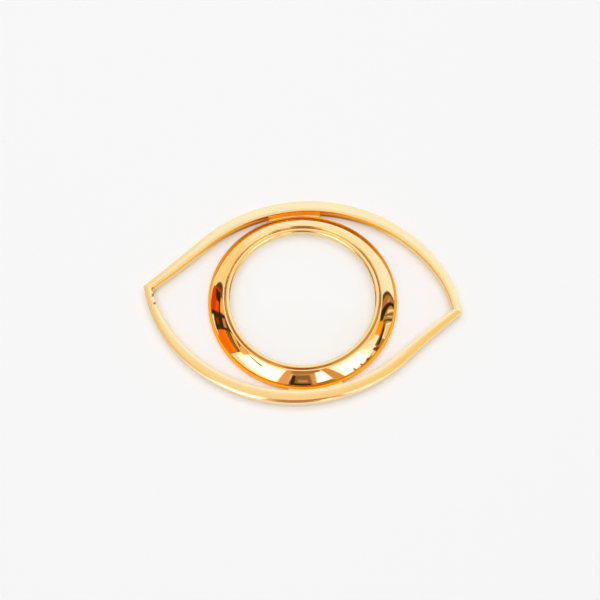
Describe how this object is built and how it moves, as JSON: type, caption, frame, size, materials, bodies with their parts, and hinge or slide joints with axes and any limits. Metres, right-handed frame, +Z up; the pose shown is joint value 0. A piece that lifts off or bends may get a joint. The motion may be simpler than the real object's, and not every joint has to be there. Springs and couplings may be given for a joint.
{
  "type": "magnifying loupe",
  "caption": "Eye-shaped desk loupe in polished brass: bent lid bars round a wide bezel that holds a clear magnifying lens under a screwed retaining ring.",
  "frame": {"origin": "on the lens axis, at the flat underside that rests on the desk", "axes": "+X runs from the left corner of the eye to the right one, +Y towards the upper lid, +Z up along the lens axis"},
  "size_m": [0.1238, 0.0862, 0.0055],
  "materials": {
    "lid_brass": "hand polished bar, faint lengthwise polishing marks",
    "bridge_brass": "satin, brazed",
    "braze": "darker brazing metal with small pits",
    "bezel_brass": "mirror polished",
    "ring_brass": "fine turned",
    "lens_glass": "clear polished glass"
  },
  "bodies": {
    "frame": {"upper_lid": "lid_brass", "lower_lid": "lid_brass", "upper_bridge": "bridge_brass", "lower_bridge": "bridge_brass", "left_corner_braze": "braze", "right_corner_braze": "braze", "bezel": "bezel_brass"},
    "lens": {"lens": "lens_glass"},
    "retaining_ring": {"retaining_ring": "ring_brass"}
  },
  "joints": [
    {"name": "lens_lift", "type": "slide", "parent": "frame", "child": "lens", "axis": [0, 0, 1], "range_m": [0, 0.00301]},
    {"name": "retainer_turn", "type": "hinge", "parent": "lens", "child": "retaining_ring", "pos_m": [0, 0, 0], "axis": [0, 0, 1], "range_deg": [0, 1440]}
  ],
  "couplings": [
    {"joint": "lens_lift", "follows": "retainer_turn", "m_per_rad": 0.00011937}
  ]
}
